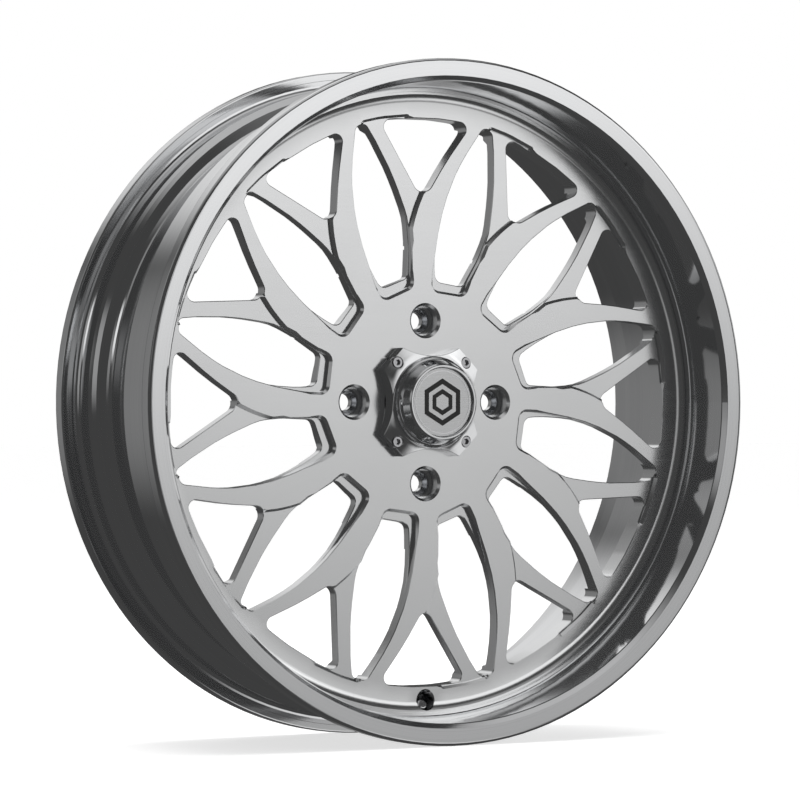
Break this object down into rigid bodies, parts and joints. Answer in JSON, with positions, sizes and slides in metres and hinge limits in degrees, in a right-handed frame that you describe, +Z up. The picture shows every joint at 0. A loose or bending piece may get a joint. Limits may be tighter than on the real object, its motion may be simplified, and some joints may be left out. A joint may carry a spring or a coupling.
{
  "type": "wheel rim",
  "caption": "Forged wheel rim with a deep polished lip, split mesh spokes, recessed lug seats, a screwed centre cap and a metal tyre valve.",
  "frame": {"origin": "middle of the rim on the wheel axis, halfway between the outer faces of the two flanges", "axes": "-Y along the wheel axis out of the outer face, +Z up through the top lug hole, +X to the right seen from the front"},
  "size_m": [0.6493, 0.2012, 0.6494],
  "materials": {
    "barrel": "turned and polished",
    "centre": "forged, milled and brushed to a polish",
    "weld": "weld bead, as laid",
    "seats": "zinc plated",
    "cap": "machined and polished",
    "emblem": null,
    "foam": "adhesive foam",
    "rubber": "matt",
    "screws": "stainless",
    "valve_metal": "nickel plated",
    "brass": "machined",
    "spring": "drawn wire",
    "valve_cap": "knurled"
  },
  "bodies": {
    "wheel": {"rim_barrel": "barrel", "wheel_centre": "centre", "weld_bead": "weld", "lug_seat_top": "seats", "lug_seat_right": "seats", "lug_seat_bottom": "seats", "lug_seat_left": "seats", "cap_body": "cap", "cap_emblem": "emblem", "emblem_pad": "foam", "cap_o_ring": "rubber", "cap_screws": "screws", "valve_stem": "valve_metal", "valve_inner_grommet": "rubber", "valve_outer_grommet": "rubber", "valve_washer": "valve_metal", "valve_nut": "valve_metal", "valve_core_body": "brass", "valve_core_gasket": "rubber", "valve_core_spring": "spring"},
    "core_pin": {"valve_core_pin": "brass"},
    "cap_seal": {"valve_cap_seal": "rubber"},
    "stem_cap": {"valve_cap": "valve_cap"}
  },
  "joints": [
    {"name": "core_pin_press", "type": "slide", "parent": "wheel", "child": "core_pin", "axis": [0, 0.8829, -0.4695], "range_m": [0, 0.0012], "stiffness_N_per_m": 800, "springref_m": -0.0006, "deforming": ["valve_core_spring"]},
    {"name": "valve_cap_travel", "type": "slide", "parent": "wheel", "child": "cap_seal", "axis": [0, -0.8829, 0.4695], "range_m": [0, 0.00476]},
    {"name": "valve_cap_turn", "type": "hinge", "parent": "cap_seal", "child": "stem_cap", "pos_m": [0, -0.03067, -0.2905], "axis": [0, -0.8829, 0.4695], "range_deg": [0, 2160]}
  ],
  "couplings": [
    {"joint": "valve_cap_turn", "follows": "valve_cap_travel", "rad_per_m": 7913.3}
  ]
}
